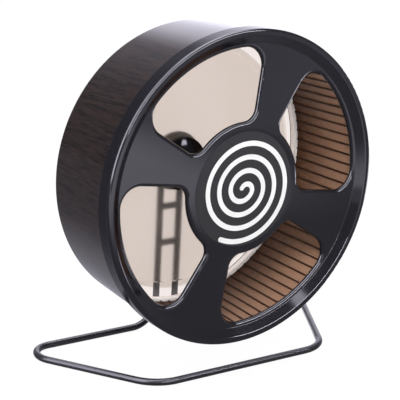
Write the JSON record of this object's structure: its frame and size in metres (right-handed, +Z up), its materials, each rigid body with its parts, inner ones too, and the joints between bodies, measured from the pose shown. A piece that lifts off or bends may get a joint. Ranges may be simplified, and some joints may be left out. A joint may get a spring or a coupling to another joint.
{
  "type": "rodent exercise wheel",
  "caption": "Free-standing rodent running wheel: ribbed smoked drum with a windowed front cover and clear back panel, turning on a ball bearing carried by a bent wire stand.",
  "frame": {"origin": "on the floor, under the middle of the bounding box", "axes": "+Z up, front cover faces -Y, +X to the right as seen from the front"},
  "size_m": [0.2986, 0.1344, 0.3011],
  "materials": {
    "cover_black": "gloss black moulding",
    "drum_smoke": "smoked brown translucent plastic",
    "panel_clear": "pale clear plastic",
    "label_grey": "satin printed label",
    "print_white": "white print",
    "hub_black": "gloss black",
    "block_black": "fine textured black",
    "wire_black": "black powder coat",
    "bolt_steel": "zinc plated",
    "bearing_steel": "ground bearing steel",
    "cage_brass": "pressed brass"
  },
  "bodies": {
    "stand": {"base_wire": "wire_black", "rung_upper": "wire_black", "rung_lower": "wire_black", "axle_block_front": "block_black", "axle_block_rear": "block_black", "block_screws": "bolt_steel", "axle_bolt": "bolt_steel", "axle_spacer": "bolt_steel", "axle_washer": "bolt_steel", "axle_nut": "bolt_steel", "bearing_inner_ring": "bearing_steel"},
    "wheel": {"bearing_outer_ring": "bearing_steel", "bearing_shields": "bearing_steel", "bearing_housing": "hub_black", "hub_clamp_ring": "hub_black", "hub_screws": "bolt_steel", "hub_cap": "hub_black", "back_panel": "panel_clear", "drum": "drum_smoke", "front_cover": "cover_black", "hub_label": "label_grey", "spiral_print": "print_white"},
    "ball_cage": {"bearing_balls": "bearing_steel", "bearing_cage": "cage_brass"}
  },
  "joints": [
    {"name": "wheel_spin", "type": "hinge", "parent": "stand", "child": "wheel", "pos_m": [0, 0.04575, 0.1612], "axis": [0, 1, 0], "continuous": true},
    {"name": "cage_spin", "type": "hinge", "parent": "stand", "child": "ball_cage", "pos_m": [0, 0.04575, 0.1612], "axis": [0, 1, 0], "continuous": true}
  ],
  "couplings": [
    {"joint": "cage_spin", "follows": "wheel_spin", "ratio": 0.6323}
  ]
}
